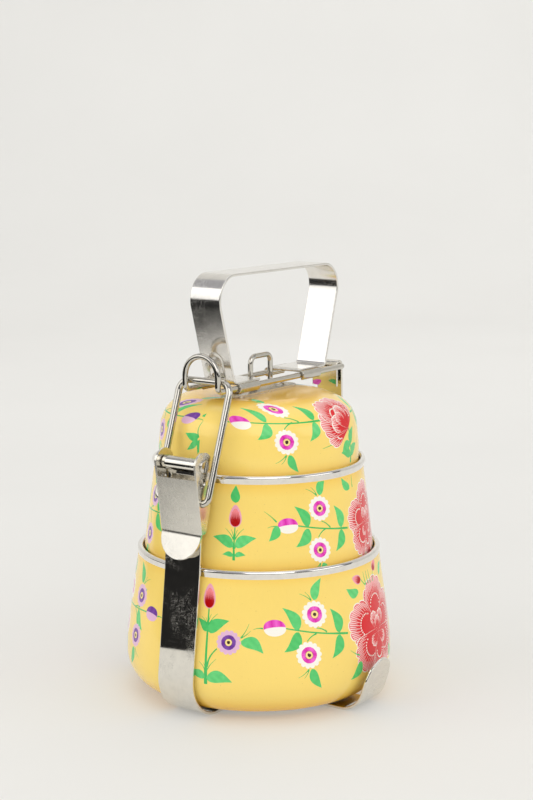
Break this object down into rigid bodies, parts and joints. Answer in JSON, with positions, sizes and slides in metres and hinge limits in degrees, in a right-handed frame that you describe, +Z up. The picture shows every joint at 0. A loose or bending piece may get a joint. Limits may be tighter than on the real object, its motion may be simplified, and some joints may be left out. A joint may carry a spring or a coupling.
{
  "type": "tiffin carrier",
  "caption": "Stacked enamelled food carrier with nested bowls and a domed lid in steel straps, held by a hinged wire frame with a strap handle and an over-centre latch.",
  "frame": {"origin": "centre of the carrier's underside, on the bowl axis at the resting plane", "axes": "+Z up along the bowl axis, +X along the handle towards the frame's hinge, latch on the -X side"},
  "size_m": [0.1444, 0.156, 0.2222],
  "materials": {
    "steel": "polished",
    "yellow_enamel": "glossy"
  },
  "bodies": {
    "carrier": {"side_strap": "steel", "cross_strap": "steel", "base_rivets": "steel", "lower_bowl": "yellow_enamel"},
    "upper_bowl": {"upper_bowl": "yellow_enamel"},
    "lid": {"lid": "yellow_enamel", "bail_plate": "steel", "bail_rivets": "steel"},
    "bail": {"bail_wire": "steel"},
    "lever": {"lever": "steel", "lever_pin": "steel"},
    "link": {"link_wire": "steel"},
    "frame": {"frame_wire": "steel", "handle": "steel"}
  },
  "joints": [
    {"name": "lid_lift", "type": "slide", "parent": "carrier", "child": "lid", "axis": [0, 0, 1], "range_m": [0, 0.046]},
    {"name": "upper_bowl_lift", "type": "slide", "parent": "carrier", "child": "upper_bowl", "axis": [0, 0, 1], "range_m": [0, 0.026]},
    {"name": "lever_turn", "type": "hinge", "parent": "carrier", "child": "lever", "pos_m": [-0.0642, 0, 0.13], "axis": [0, 1, 0], "range_deg": [0, 150]},
    {"name": "link_turn", "type": "hinge", "parent": "lever", "child": "link", "pos_m": [-0.0652, 0, 0.1116], "axis": [0, 1, 0], "range_deg": [-342, 0]},
    {"name": "frame_swing", "type": "hinge", "parent": "carrier", "child": "frame", "pos_m": [0.0653, 0, 0.1646], "axis": [0, 1, 0], "range_deg": [0, 165.5]},
    {"name": "bail_tilt", "type": "hinge", "parent": "lid", "child": "bail", "pos_m": [0.0015, 0, 0.161], "axis": [1, 0, 0], "range_deg": [-48, 48]}
  ],
  "couplings": [
    {"joint": "upper_bowl_lift", "follows": "lid_lift", "ratio": 0.5576},
    {"joint": "lever_turn", "follows": "lid_lift", "rad_per_m": 56.9},
    {"joint": "link_turn", "follows": "lid_lift", "rad_per_m": -129.16},
    {"joint": "frame_swing", "follows": "lid_lift", "rad_per_m": 62.59}
  ]
}
